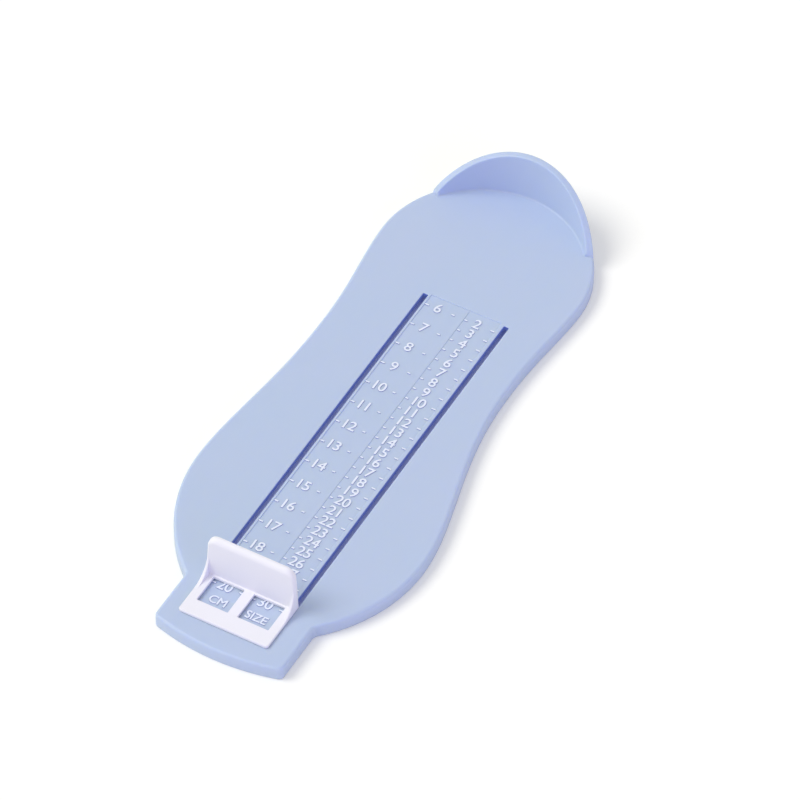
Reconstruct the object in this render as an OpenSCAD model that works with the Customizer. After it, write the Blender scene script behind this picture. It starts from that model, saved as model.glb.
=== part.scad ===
// Foot measuring gauge: a foot-shaped moulded plate with a heel cup, a sunk
// scale panel between two guide slots, and a toe slider clipped through them.
//
// Lengths are in millimetres, +Z is up and +Y points at the heel. The plate is
// drawn from two datums: the zero line, which the heel touches, and the centre
// line of the scale panel. A distance "from zero" runs from the heel's line
// towards the toes, so it is also what the scale reads there.

/* [Plate] */
// Height of the plate's top above the table
plate_h = 5.4; // [4.8:0.1:8]
// Thickness of the plate's top skin
skin_t = 2.0; // [1.4:0.1:2.4]
// Thickness of the skirt round the hollow underside
skirt_t = 1.8; // [1.2:0.1:3]
// Radius of the rounded top edge
edge_r = 1.0; // [0.4:0.1:1.2]

/* [Heel cup] */
// Inside radius of the heel cup
cup_r = 35.4; // [32:0.1:40]
// Thickness of the cup's wall
cup_t = 2.5; // [2.5:0.1:4]
// Height of the cup's wall above the plate, at the back of the heel
cup_h = 18.3; // [12:0.1:26]
// Height of the step where each end of the wall meets the plate
cup_step_h = 1.2; // [0.6:0.1:2]
// Half the angle that the wall wraps round the heel
cup_wrap = 54; // [40:1:70]
// Offset of the heel's middle from the centre line, to the right
cup_shift = -5.4; // [-8:0.1:8]
// Radius of the rounded edges along the top of the cup's wall
rim_r = 0.5; // [0.3:0.1:1]
// Lean of the wall's inside face, at its foot
cup_draft = 0.4; // [0.2:0.1:1]
// Fillet where the wall's inside face meets the plate
cup_fillet = 0.8; // [0.4:0.1:1.5]

/* [Outline] */
// Left edge of the waist from the centre line
waist_left = 39.6; // [34:0.1:42]
// Left waist from zero
waist_left_at = 84; // [70:1:100]
// Right edge of the waist from the centre line
waist_right = 29.5; // [24:0.1:38]
// Right waist from zero
waist_right_at = 79; // [70:1:100]
// Left edge of the ball of the foot from the centre line
ball_left = 45.2; // [42:0.1:50]
// Left ball from zero
ball_left_at = 154; // [140:1:165]
// Right edge of the ball of the foot from the centre line
ball_right = 42.5; // [40:0.1:50]
// Right ball from zero
ball_right_at = 160; // [145:1:170]
// Radius of the plate below the left ball
toe_r_left = 60; // [55:1:80]
// Radius of the plate below the right ball
toe_r_right = 56; // [52:1:80]

/* [Tongue] */
// Width of the tongue
tongue_w = 47.4; // [44:0.1:56]
// Offset of the tongue's middle from the centre line, to the right
tongue_shift = 1.3; // [-2:0.1:3]
// Length of the tongue from the middle of its neck to its tip
tongue_len = 22.2; // [20:0.1:40]
// Radius of the tongue's end
tongue_end_r = 82; // [60:1:150]
// Radius of the tongue's two corners
corner_r = 2.0; // [1.8:0.1:4]
// Radius in the neck between the ball and the tongue
neck_r = 3.0; // [1.5:0.1:6]

/* [Guide slots] */
// Distance between the middles of the two slots
slot_gap = 30.8; // [28:0.1:33]
// Offset of the slots' middle from the centre line, to the right
slot_shift = 0.25; // [-0.6:0.05:0.6]
// Width of each slot
slot_w = 1.9; // [1.4:0.1:2.2]
// Heel end of the slots from zero
slot_start = 56; // [50:1:60]
// Plate left between the toe end of the slots and the tip of the tongue
slot_margin = 9.3; // [8:0.1:14]

/* [Scale] */
// Depth of the sunk panel that carries the scale
panel_depth = 0.3; // [0.2:0.05:0.6]
// Width of the ledge between the panel and each slot
panel_ledge = 1.15; // [0.8:0.05:2]
// Margin of the panel beyond each end of the slots
panel_margin = 0.6; // [0.4:0.1:2]
// Number of the first centimetre mark
first_cm = 6; // [6:1:8]
// Number of the last centimetre mark
last_cm = 20; // [12:1:20]
// Width of each raised mark
mark_w = 0.6; // [0.4:0.05:0.8]
// Height of each raised mark above the panel
mark_h = 0.25; // [0.1:0.05:0.25]
// Length of the marks along the panel's two edges
edge_mark_len = 1.6; // [1:0.1:2.5]
// Length of the marks in the two inner columns
inner_mark_len = 1.2; // [0.8:0.1:2]
// Middle of the column of marks after the centimetre numbers, from the centre line
cm_column = -2.5; // [-4:0.1:-1]
// Engraved line that the half-centimetre column starts from, from the centre line
size_line = 1.6; // [0:0.1:3]
// Width of the engraved line
line_w = 0.35; // [0.2:0.05:0.5]
// Depth of the engraved line below the panel
line_depth = 0.15; // [0.1:0.05:0.3]

/* [Underside] */
// Thickness of the ribs
rib_t = 1.2; // [0.8:0.1:2]
// Spacing of the cross ribs
rib_pitch = 30; // [20:1:40]
// Length of the retainer's channel past the heel end of the slots
channel_margin = 4; // [3:0.5:10]
// Running gap between the retainer and the rails beside it
rail_gap = 0.5; // [0.3:0.1:1]

/* [Slider] */
// Length of the slider along the scale
slider_len = 20.3; // [19.5:0.1:24]
// Reach of the parked slider past the toe end of the slots
slider_reach = 0.9; // [0.8:0.1:2.5]
// Cover of the slider over the outer half of each slot
slider_cover = 1.15; // [0.4:0.05:1.4]
// Height of the toe stop above the plate
stop_h = 18.1; // [14:0.1:26]
// Thickness of the toe stop
stop_t = 2.4; // [2.3:0.1:3.4]
// Narrowing of the toe stop on each side, from the frame up to its top
stop_taper = 0.6; // [0.2:0.1:1]
// Radius of the toe stop's top corners
stop_corner_r = 3.6; // [1:0.1:6]
// Fillet between the toe stop's foot and the frame
foot_fillet_r = 0.5; // [0.2:0.1:0.6]
// Radius of the hollow edge of the two webs that brace the toe stop
web_r = 8.0; // [4:0.1:10]
// Thickness of the two webs
web_t = 1.2; // [1:0.1:2]
// Rounding of the toe stop's top edge on the side of the toes
stop_edge_r = 0.4; // [0.2:0.1:0.5]
// Rounding of the toe stop's top edge on the side of the windows
stop_brow_r = 1.8; // [0.6:0.1:1.9]
// Thickness of the slider's frame
frame_t = 1.0; // [0.8:0.1:1.6]
// Radius of the frame's two corners at the toe end
frame_corner_r = 0.9; // [0.3:0.1:1.5]
// Running gap between the frame and the plate under it
frame_gap = 0.2; // [0.1:0.05:0.4]
// Width of each reading window
window_w = 11.5; // [8:0.1:12]
// Width of the bar between the two windows
window_bar = 3.6; // [2:0.1:5]
// Width of the frame on the toe side of the windows
window_front = 6.3; // [6:0.1:8]
// Width of the frame between the windows and the toe stop
window_back = 0.6; // [0.6:0.1:3]

/* [Slider clip] */
// Thickness of the two legs that run in the slots
leg_t = 1.2; // [0.8:0.1:1.3]
// Length of each leg along its slot
leg_len = 17.0; // [12:0.1:17.5]
// Gap left between the parked legs and the toe end of the slots
leg_end_gap = 0.6; // [0.4:0.1:1.5]
// Reach of each leg's hook past its outer face
hook_reach = 0.5; // [0.3:0.1:0.7]
// Height of each leg's hook
hook_h = 0.9; // [0.6:0.1:1.1]
// Length of each leg's hook
hook_len = 8; // [4:0.5:12]
// Thickness of the retainer
retainer_t = 1.2; // [0.8:0.1:1.4]
// Length of the retainer past each end of the legs
retainer_end = 1.2; // [0.8:0.1:2]
// Width of the retainer outside each leg
retainer_rim = 1.8; // [1.5:0.1:2.5]
// Corner radius of the retainer
retainer_r = 1.5; // [0.5:0.1:2.5]
// Running gap between the retainer and the skin above it
retainer_gap = 0.2; // [0.1:0.05:0.3]
// Room for a leg to bend inwards in the retainer
flex_room = 0.6; // [0.5:0.1:1]
// Fit between a leg and the retainer round it
leg_fit = 0.1; // [0.05:0.05:0.2]

/* [Hidden] */

plate_colour = "LightSteelBlue";
slider_colour = "GhostWhite";
retainer_colour = "Gainsboro";

// Overshoot of a cut past the face it opens.
cut = 1;

heel_r = cup_r + cup_t;
skin_z = plate_h - skin_t;
panel_z = plate_h - panel_depth;

// The widest places of each side, with x counted outwards from the centre line.
right_waist = [waist_right, -waist_right_at];
left_waist = [waist_left, -waist_left_at];
right_ball = [ball_right, -ball_right_at];
left_ball = [ball_left, -ball_left_at];

// Edge of the tongue on one side. side is 1 on the right and -1 on the left.
function tongue_edge(side) = tongue_w / 2 + side * tongue_shift;

// Middle of the neck's arc, which touches the ball's arc and the tongue's edge.
function neck_middle(side, ball, toe_r) =
    let (
        x = tongue_edge(side) + neck_r,
        dx = x - ball[0] + toe_r
    )
    [x, ball[1] - sqrt(pow(toe_r + neck_r, 2) - pow(dx, 2))];

right_neck = neck_middle(1, right_ball, toe_r_right);
left_neck = neck_middle(-1, left_ball, toe_r_left);

// Distances from zero that follow the tongue.
tongue_tip = tongue_len - min(right_neck[1], left_neck[1]);
slot_end = tongue_tip - slot_margin;
toe_face_at = slot_end + slider_reach - slider_len;

// Middle of the gauge's box, which stands on the origin.
mid_x = (max(ball_right, heel_r + cup_shift) - max(ball_left, heel_r - cup_shift)) / 2;
mid_y = (cup_t - tongue_tip) / 2;

// ---- Outline ----

// Points along an arc, without its first one.
function arc(c, r, from, to, n) =
    [for (i = [1:n]) let (a = from + (to - from) * i / n) c + r * [cos(a), sin(a)]];

// A smooth rise from 0 to 1 that leaves the waist slowly.
waist_lean = 1.2;
function swell(t) = let (u = pow(t, waist_lean)) u * u * (3 - 2 * u);

// A flank that swells from the waist to a wider place.
function flank(waist, wide, n) =
    [for (i = [0:n]) let (t = i / n)
        [waist[0] + (wide[0] - waist[0]) * swell(t), waist[1] + (wide[1] - waist[1]) * t]];

function reversed(list) = [for (i = [len(list) - 1:-1:0]) list[i]];
function without_first(list) = [for (i = [1:len(list) - 1]) list[i]];

// Steps round the cup's wall, and the short step where it ends.
cup_steps = 16;
cup_end_step = 0.9;

// Half of the outline, from the back of the heel to the tip of the tongue, with
// x counted outwards from the centre line.
function half_outline(side, waist, ball, toe_r, neck) =
    let (
        heel = [side * cup_shift, -cup_r],
        heel_wide = heel + [heel_r, 0],
        wall_end = 90 - cup_wrap,
        ball_c = ball - [toe_r, 0],
        neck_a = atan2(neck[1] - ball_c[1], neck[0] - ball_c[0]),
        end_c = [side * tongue_shift, tongue_end_r - tongue_tip],
        corner_dx = tongue_edge(side) - corner_r - end_c[0],
        corner_dy = -sqrt(pow(tongue_end_r - corner_r, 2) - pow(corner_dx, 2)),
        corner_c = end_c + [corner_dx, corner_dy],
        corner_a = atan2(corner_dy, corner_dx)
    )
    concat(
        arc(heel, heel_r, 90, wall_end, cup_steps),
        arc(heel, heel_r, wall_end, wall_end - cup_end_step, 1),
        arc(heel, heel_r, wall_end - cup_end_step, 0, 8),
        without_first(reversed(flank(waist, heel_wide, 9))),
        without_first(flank(waist, ball, 14)),
        arc(ball_c, toe_r, 0, neck_a, 12),
        arc(neck, neck_r, 180 + neck_a, 180, 4),
        [corner_c + [corner_r, 0]],
        arc(corner_c, corner_r, 0, corner_a, 4),
        arc(end_c, tongue_end_r, corner_a, -90, 6)
    );

right_half = half_outline(1, right_waist, right_ball, toe_r_right, right_neck);
left_half = half_outline(-1, left_waist, left_ball, toe_r_left, left_neck);

// The whole outline, clockwise from the back of the heel.
outline = concat(
    [[cup_shift, cup_t]],
    right_half,
    without_first([for (p = reversed(left_half)) [-p[0], p[1]]])
);
stations = len(outline);

// Whether station i is on the cup's wall.
function in_cup(i) = min(i, stations - i) <= cup_steps;

// Outward direction at station i, square to the line between its neighbours.
function outward(i) =
    let (d = outline[(i + 1) % stations] - outline[(i + stations - 1) % stations])
    [-d[1], d[0]] / norm(d);

// Height of the cup's wall at station i: full at the back, falling in a low bow.
cup_bow = 0.9;
function wall_height(i) =
    let (
        end_y = heel_r * cos(cup_wrap),
        u = max(0, (outline[i][1] + cup_r - end_y) / (heel_r - end_y))
    )
    in_cup(i) ? cup_step_h + (cup_h - cup_step_h) * pow(u, cup_bow) : 0;

// ---- Plate ----

// One ring of the moulded skin: each station set in by "base" and by "k" times its
// edge radius, then dropped from the top of its wall by "drop" times that radius.
// Past the cup the rings close up behind the rounded edge.
edge_close = 0.12;
function ring(base, k, drop, from_plate = 0) =
    [for (i = [0:stations - 1])
        let (
            h = wall_height(i),
            r = in_cup(i) ? rim_r : edge_r,
            inset = base + k * r,
            inner = base > 0,
            fade = inner ? min(1, h / (edge_r + cup_fillet)) : 1,
            tuck = inner && !in_cup(i) ? edge_r + (inset - edge_r) * edge_close : inset,
            p = outline[i] - tuck * outward(i)
        )
        [p[0], p[1], plate_h + (from_plate > 0 ? fade * (from_plate - plate_h)
            : h - fade * drop * r)]];

// The crown is lofted through rings, from just below the rounded edge.
crown_depth = 0.4;
crown_z = plate_h - edge_r - crown_depth;
turn = [0, 30, 60, 90];
rings = concat(
    [[for (p = outline) [p[0], p[1], crown_z]]],
    [for (a = turn) ring(0, 1 - cos(a), 1 - sin(a))],
    [for (a = turn) ring(cup_t, sin(a) - 1, 1 - cos(a))],
    [for (a = turn) ring(
        cup_t + cup_draft + cup_fillet * (1 - cos(a)), 0, 0,
        plate_h + cup_fillet * (1 - sin(a)))]
);

module crown() {
    n = stations;
    last = len(rings) - 1;
    polyhedron(
        points = [for (r = rings) each r],
        faces = concat(
            [for (j = [0:last - 1], i = [0:n - 1])
                let (a = j * n + i, b = j * n + (i + 1) % n)
                each [[a, b, b + n], [a, b + n, a + n]]],
            [[for (i = [n - 1:-1:0]) i]],
            [[for (i = [0:n - 1]) last * n + i]]
        )
    );
}

// One centimetre of the scale, and half the width of its panel.
cm = 10;
panel_half = (slot_gap - slot_w) / 2 - panel_ledge;

// Half widths of the retainer and of the channel that it runs in.
leg_out = (slot_gap + leg_t) / 2;
retainer_half = leg_out + retainer_rim;
channel_half = retainer_half + rail_gap;
channel_at = slot_start - channel_margin;

// Moves what lines up with the slots from the centre line to their middle.
module on_slots() {
    translate([slot_shift, 0, 0]) children();
}

// Ribs under the plate: two rails beside the channel, cross ribs out to the
// skirt, and a lengthwise rib under the heel.
module ribs() {
    reach = 2 * max(ball_left, ball_right);
    difference() {
        for (at = [channel_at % rib_pitch : rib_pitch : tongue_tip])
            translate([-reach / 2, -at])
                square([reach, rib_t]);
        on_slots()
            translate([-channel_half, -tongue_tip])
                square([2 * channel_half, tongue_tip - channel_at]);
    }
    on_slots() for (side = [-1, 1])
        translate([side * (channel_half + rib_t / 2) - rib_t / 2, -tongue_tip])
            square([rib_t, tongue_tip - channel_at]);
    translate([cup_shift - rib_t / 2, -channel_at])
        square([rib_t, channel_at + cup_t]);
}

module underside_hollows() {
    difference() {
        offset(delta = -skirt_t)
            polygon(outline);
        ribs();
    }
}

module guide_slots() {
    for (side = [-1, 1])
        translate([side * slot_gap / 2 - slot_w / 2, -slot_end, skin_z - cut])
            cube([slot_w, slot_end - slot_start, skin_t + 2 * cut]);
}

module scale_panel() {
    length = slot_end - slot_start + 2 * panel_margin;
    translate([-panel_half, -slot_end - panel_margin, panel_z])
        cube([2 * panel_half, length, panel_depth + cut]);
    translate([size_line - line_w / 2, -slot_end - panel_margin, panel_z - line_depth])
        cube([line_w, length, line_depth + cut]);
}

// One column of raised marks, from "first" to "last" on the scale.
module mark_column(x, length, first, last, step) {
    root = panel_depth;
    for (at = [first : step : last + step / 10])
        translate([x, -at - mark_w / 2, panel_z - root])
            cube([length, mark_w, root + mark_h]);
}

// The marks: whole centimetres on the left, half centimetres on the right.
module scale_marks() {
    first = first_cm * cm;
    last = last_cm * cm;
    mark_column(-panel_half, edge_mark_len, first, last, cm);
    mark_column(cm_column - inner_mark_len / 2, inner_mark_len, first, last, cm);
    mark_column(size_line + line_w / 2, inner_mark_len, first, last, cm / 2);
    mark_column(panel_half - edge_mark_len, edge_mark_len, first, last, cm / 2);
}

module gauge_plate() {
    color(plate_colour) {
        difference() {
            union() {
                linear_extrude(crown_z)
                    polygon(outline);
                crown();
            }
            translate([0, 0, -cut])
                linear_extrude(skin_z + cut)
                    underside_hollows();
            on_slots() guide_slots();
            scale_panel();
        }
        scale_marks();
    }
}

// ---- Slider ----

slider_w = slot_gap + 2 * slider_cover;
frame_z = plate_h + frame_gap;
frame_top = frame_z + frame_t;
stop_top = plate_h + stop_h;
leg_toe_at = slot_end - leg_end_gap;

// Heights of the retainer under the skin, and of the hooks under the retainer.
retainer_z = skin_z - retainer_gap - retainer_t;
hook_fit = 0.05;
hook_top = retainer_z - hook_fit;

// Side view of the slider between its webs, with x towards the heel from the toe face.
function slider_side() = concat(
    [[0, frame_z], [0, stop_top - stop_edge_r]],
    arc([-stop_edge_r, stop_top - stop_edge_r], stop_edge_r, 0, 90, 3),
    [[stop_brow_r - stop_t, stop_top]],
    arc([stop_brow_r - stop_t, stop_top - stop_brow_r], stop_brow_r, 90, 180, 5),
    [[-stop_t, frame_top + foot_fillet_r]],
    arc([-stop_t - foot_fillet_r, frame_top + foot_fillet_r], foot_fillet_r, 0, -90, 3),
    [[-slider_len, frame_top], [-slider_len, frame_z]]
);

// Side view of a web: a hollow edge from the toe stop down to the frame. It starts
// inside both.
function web_side() =
    let (c = [-stop_t - web_r, frame_top + web_r], root_x = -stop_t / 2, root_z = frame_z + frame_t / 2)
    concat(
        [[root_x, root_z], [root_x, c[1]], [-stop_t, c[1]]],
        arc(c, web_r, 0, -90, 9),
        [[c[0], root_z]]
    );

// Front view of the slider, with a tapered stop and rounded top corners.
function slider_front() =
    let (
        x = slider_w / 2,
        top_x = x - stop_taper,
        c = top_x - stop_corner_r,
        z = stop_top - stop_corner_r
    )
    concat(
        [[x, frame_z], [x, frame_top], [top_x, z]],
        arc([c, z], stop_corner_r, 0, 90, 8),
        [[-c, stop_top]],
        arc([-c, z], stop_corner_r, 90, 180, 8),
        [[-x, frame_top], [-x, frame_z]]
    );

// Top view of the slider, with rounded corners at the toe end.
function slider_plan() =
    let (x = slider_w / 2, c = x - frame_corner_r, y = frame_corner_r - slider_len)
    concat(
        [[x, cut], [-x, cut], [-x, y]],
        arc([-c, y], frame_corner_r, 180, 270, 4),
        [[c, -slider_len]],
        arc([c, y], frame_corner_r, 270, 360, 4)
    );

// A side view drawn along the scale, made "width" wide.
module from_side(width) {
    translate([-width / 2, 0, 0])
        rotate([90, 0, 90])
            linear_extrude(width)
                children();
}

module slider_shell() {
    translate([0, -toe_face_at, 0])
    intersection() {
        union() {
            from_side(2 * slider_w)
                polygon(slider_side());
            for (side = [-1, 1])
                translate([side * (slider_w - web_t), 0, 0])
                    from_side(slider_w)
                        polygon(web_side());
        }
        translate([0, cut, 0])
            rotate([90, 0, 0])
                linear_extrude(slider_len + 2 * cut)
                    polygon(slider_front());
        linear_extrude(2 * stop_top)
            polygon(slider_plan());
    }
}

module reading_windows() {
    front_at = toe_face_at + slider_len - window_front;
    length = slider_len - window_front - window_back - stop_t;
    for (side = [-1, 1])
        translate([side * (window_bar + window_w) / 2 - window_w / 2, -front_at, frame_z - cut])
            cube([window_w, length, frame_t + 2 * cut]);
}

// One leg with its hook, on the right. It starts inside the frame.
module leg() {
    root = frame_t / 2;
    translate([leg_out, -leg_toe_at, 0]) {
        translate([-leg_t, 0, hook_top - hook_h])
            cube([leg_t, leg_len, frame_z + root - hook_top + hook_h]);
        translate([0, (leg_len + hook_len) / 2, hook_top])
            rotate([90, 0, 0])
                linear_extrude(hook_len)
                    polygon([[-leg_t / 2, 0], [hook_reach, 0], [0, -hook_h], [-leg_t / 2, -hook_h]]);
    }
}

module toe_slider() {
    color(slider_colour) {
        difference() {
            slider_shell();
            reading_windows();
        }
        leg();
        mirror([1, 0, 0]) leg();
    }
}

// ---- Retainer ----

function rounded_rect(w, h, r) =
    let (x = w / 2 - r, y = h / 2 - r)
    concat(
        [[x + r, -y]],
        arc([x, y], r, 0, 90, 4),
        arc([-x, y], r, 90, 180, 4),
        arc([-x, -y], r, 180, 270, 4),
        arc([x, -y], r, 270, 350, 4)
    );

module slider_retainer() {
    length = leg_len + 2 * (leg_fit + retainer_end);
    opening_w = leg_t + flex_room + leg_fit;
    color(retainer_colour)
    translate([0, leg_len / 2 - leg_toe_at, retainer_z])
    linear_extrude(retainer_t)
    difference() {
        polygon(rounded_rect(2 * retainer_half, length, retainer_r));
        for (side = [-1, 1])
            translate([side * (leg_out + leg_fit - opening_w / 2), 0])
                square([opening_w, leg_len + 2 * leg_fit], center = true);
    }
}

// ---- Gauge ----

// Moves a piece from the two datums to the middle of the gauge's box.
module on_table() {
    translate([-mid_x, -mid_y, 0]) children();
}

on_table() gauge_plate();
on_table() on_slots() toe_slider();
on_table() on_slots() slider_retainer();
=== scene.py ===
"""Foot measuring gauge: a moulded plate with a heel cup and a raised scale, a toe slider, and its retainer.

Shapes are made in millimetres in the gauge's own frame: x from the centre line, y = -(distance from
zero), z up from the table. seat() then brings each piece to metres in the shared frame.
"""
from math import atan2, cos, degrees, hypot, pi, radians, sin, sqrt

import bmesh
import bpy
from mathutils import Matrix, Vector


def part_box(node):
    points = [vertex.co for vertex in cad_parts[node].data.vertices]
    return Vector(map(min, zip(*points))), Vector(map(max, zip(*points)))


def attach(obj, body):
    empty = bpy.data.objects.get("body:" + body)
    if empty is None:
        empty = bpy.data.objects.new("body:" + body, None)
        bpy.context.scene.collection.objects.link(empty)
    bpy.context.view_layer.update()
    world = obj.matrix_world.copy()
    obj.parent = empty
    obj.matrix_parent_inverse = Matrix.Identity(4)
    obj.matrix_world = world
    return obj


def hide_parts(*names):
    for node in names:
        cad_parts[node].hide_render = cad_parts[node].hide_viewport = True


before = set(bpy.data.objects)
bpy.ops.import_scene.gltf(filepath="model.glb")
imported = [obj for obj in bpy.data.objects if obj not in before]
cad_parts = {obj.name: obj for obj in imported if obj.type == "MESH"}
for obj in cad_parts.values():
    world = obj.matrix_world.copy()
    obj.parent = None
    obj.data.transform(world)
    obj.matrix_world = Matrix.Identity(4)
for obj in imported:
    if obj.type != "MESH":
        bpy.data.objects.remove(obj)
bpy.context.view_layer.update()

MM = 0.001

# ---- Sizes ----

# Plate and heel cup
PLATE_H = 5.4
SKIN_Z = 3.4
SKIRT_T = 1.8
EDGE_R = 1.0
FOOT_R = 0.25
CUP_R = 35.4
CUP_T = 2.5
CUP_H = 18.3
CUP_STEP_H = 1.2
CUP_WRAP = 54
CUP_SHIFT = -5.4
CUP_DRAFT = 0.4
CUP_FILLET = 0.8
CUP_BOW = 0.9
CUP_END_STEP = 0.9
RIM_R = 0.5
HEEL_R = CUP_R + CUP_T

# Outline: each place is (out from the centre line, distance from zero)
LEFT_WAIST = (39.6, 84)
RIGHT_WAIST = (29.5, 79)
LEFT_BALL = (45.2, 154)
RIGHT_BALL = (42.5, 160)
TOE_R_LEFT = 60
TOE_R_RIGHT = 56
WAIST_LEAN = 1.2

# Tongue
TONGUE_W = 47.4
TONGUE_SHIFT = 1.3
TONGUE_END_R = 82
CORNER_R = 2.0
NECK_R = 3.0

# Guide slots and scale panel
SLOT_GAP = 30.8
SLOT_SHIFT = 0.25
SLOT_W = 1.9
SLOT_START = 56
SLOT_MARGIN = 9.3
SLOT_LIP = 0.25
SLOT_CORNER = 0.35
PANEL_DEPTH = 0.3
PANEL_HALF = 13.3
PANEL_MARGIN = 0.6
PANEL_LIP = 0.2
SIZE_LINE = 1.6
LINE_W = 0.35
LINE_DEPTH = 0.15
PANEL_Z = PLATE_H - PANEL_DEPTH

# Raised marks and numerals
FIRST_CM = 6
LAST_CM = 20
CM = 10
MARK_W = 0.6
MARK_H = 0.25
MARK_ROOT = 0.1
EDGE_MARK = 1.6
INNER_MARK = 1.2
CM_COLUMN = -2.5

# Underside
RIB_T = 1.2
RIB_PITCH = 30
CHANNEL_HALF = 18.3
CHANNEL_AT = 52

# Slider
SLIDER_COVER = 1.15
STOP_T = 2.4
STOP_TAPER = 0.6
STOP_CORNER_R = 3.6
STOP_EDGE_R = 0.4
STOP_BROW_R = 1.8
STOP_SIDE_R = 0.8
FOOT_FILLET_R = 0.4
WEB_R = 8.0
WEB_T = 1.2
WEB_ROUND = 0.45
FRAME_T = 1.0
FRAME_GAP = 0.2
FRAME_CORNER_R = 0.9
FRAME_ROUND = 0.35
WINDOW_W = 11.5
WINDOW_BAR = 3.6
WINDOW_FRONT = 6.3
WINDOW_BACK = 0.6
WINDOW_ROUND = 0.15
WINDOW_CORNER = 0.2
LEG_T = 1.2
LEG_LEN = 17.0
LEG_OUT = 16.0
HOOK_REACH = 0.5
HOOK_H = 0.9
HOOK_LEN = 8
LEG_END_GAP = 0.6
LEG_FIT = 0.1
FLEX_ROOM = 0.6
RETAINER_R = 1.5
RETAINER_ROUND = 0.2
OPENING_R = 0.2

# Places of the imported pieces, in millimetres in the shared frame
plate_low, plate_high = [Vector(corner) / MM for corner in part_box("gauge_plate")]
slider_low, slider_high = [Vector(corner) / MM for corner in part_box("toe_slider")]
retainer_low, retainer_high = [Vector(corner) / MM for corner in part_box("slider_retainer")]

# From the gauge's own frame to the shared one: the heel's back is at CUP_T, and the left ball at its
# half width.
SHIFT = Vector((plate_low.x + LEFT_BALL[0], plate_high.y - CUP_T, 0))
TONGUE_TIP = SHIFT.y - plate_low.y
SLOT_END = TONGUE_TIP - SLOT_MARGIN
TOE_FACE = slider_high.y - SHIFT.y
SLIDER_LEN = slider_high.y - slider_low.y
SLIDER_W = SLOT_GAP + 2 * SLIDER_COVER
STOP_TOP = slider_high.z
HOOK_FOOT = slider_low.z
HOOK_TOP = HOOK_FOOT + HOOK_H
FRAME_Z = PLATE_H + FRAME_GAP
FRAME_TOP = FRAME_Z + FRAME_T
LEG_TOE = LEG_END_GAP - SLOT_END
LEG_HEEL = LEG_TOE + LEG_LEN


# ---- Outline ----

def spread(start, end, steps):
    """Evenly spaced values from start to end, with both ends."""
    return [start + (end - start) * i / steps for i in range(steps + 1)]


def arc(centre, radius, start, end, steps):
    """Points along an arc, in degrees, without its first one."""
    turns = [radians(turn) for turn in spread(start, end, steps)[1:]]
    return [(centre[0] + radius * cos(a), centre[1] + radius * sin(a)) for a in turns]


def swell(t):
    """A smooth rise from 0 to 1 that leaves the waist slowly."""
    u = t ** WAIST_LEAN
    return u * u * (3 - 2 * u)


def flank(waist, wide, steps):
    """A flank that swells from the waist to a wider place."""
    out, along = wide[0] - waist[0], wide[1] - waist[1]
    return [(waist[0] + out * swell(t), waist[1] + along * t) for t in spread(0, 1, steps)]


# Steps along the cup's wall, the rest of the heel, the flanks, the ball, the small arcs and the tip
CUP_STEPS = 56
HEEL_STEPS = 20
HEEL_FLANK_STEPS = 24
BALL_FLANK_STEPS = 36
BALL_STEPS = 36
SMALL_ARC_STEPS = 10
TIP_STEPS = 14


def tongue_edge(side):
    """Distance from the centre line to the tongue's edge on one side."""
    return TONGUE_W / 2 + side * TONGUE_SHIFT


def toe_arcs(side, ball, toe_r):
    """Round the toes from the ball's widest place, and through the neck to the tongue's edge."""
    ball_c = (ball[0] - toe_r, ball[1])
    neck_x = tongue_edge(side) + NECK_R
    neck_c = (neck_x, ball[1] - sqrt((toe_r + NECK_R) ** 2 - (neck_x - ball_c[0]) ** 2))
    turn = degrees(atan2(neck_c[1] - ball_c[1], neck_c[0] - ball_c[0]))
    return arc(ball_c, toe_r, 0, turn, BALL_STEPS) + arc(neck_c, NECK_R, 180 + turn, 180, SMALL_ARC_STEPS)


def tongue_end(side):
    """From the tongue's edge round its corner, and along its end to the tip."""
    end_c = (side * TONGUE_SHIFT, TONGUE_END_R - TONGUE_TIP)
    dx = tongue_edge(side) - CORNER_R - end_c[0]
    dy = -sqrt((TONGUE_END_R - CORNER_R) ** 2 - dx ** 2)
    corner_c = (end_c[0] + dx, end_c[1] + dy)
    turn = degrees(atan2(dy, dx))
    corner = [(corner_c[0] + CORNER_R, corner_c[1])] + arc(corner_c, CORNER_R, 0, turn, SMALL_ARC_STEPS)
    return corner + arc(end_c, TONGUE_END_R, turn, -90, TIP_STEPS)


def half_outline(side, waist_at, ball_at, toe_r):
    """Half of the outline, from the heel's back to the tongue's tip, with x counted outwards."""
    waist = (waist_at[0], -waist_at[1])
    ball = (ball_at[0], -ball_at[1])
    heel = (side * CUP_SHIFT, -CUP_R)
    heel_wide = (heel[0] + HEEL_R, heel[1])
    wall_end = 90 - CUP_WRAP
    points = arc(heel, HEEL_R, 90, wall_end, CUP_STEPS)
    points += arc(heel, HEEL_R, wall_end, wall_end - CUP_END_STEP, 1)
    points += arc(heel, HEEL_R, wall_end - CUP_END_STEP, 0, HEEL_STEPS)
    points += flank(waist, heel_wide, HEEL_FLANK_STEPS)[::-1][1:]
    points += flank(waist, ball, BALL_FLANK_STEPS)[1:]
    return points + toe_arcs(side, ball, toe_r) + tongue_end(side)


right_half = half_outline(1, RIGHT_WAIST, RIGHT_BALL, TOE_R_RIGHT)
left_half = half_outline(-1, LEFT_WAIST, LEFT_BALL, TOE_R_LEFT)
outline = [(CUP_SHIFT, CUP_T)] + right_half + [(-x, y) for x, y in left_half[::-1][1:]]
stations = len(outline)


def in_cup(i):
    """Whether station i is on the cup's wall."""
    return min(i, stations - i) <= CUP_STEPS


def outward(i):
    """Outward direction at station i, square to the line between its neighbours."""
    before = outline[i - 1]
    after = outline[(i + 1) % stations]
    dx, dy = after[0] - before[0], after[1] - before[1]
    return -dy / hypot(dx, dy), dx / hypot(dx, dy)


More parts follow.
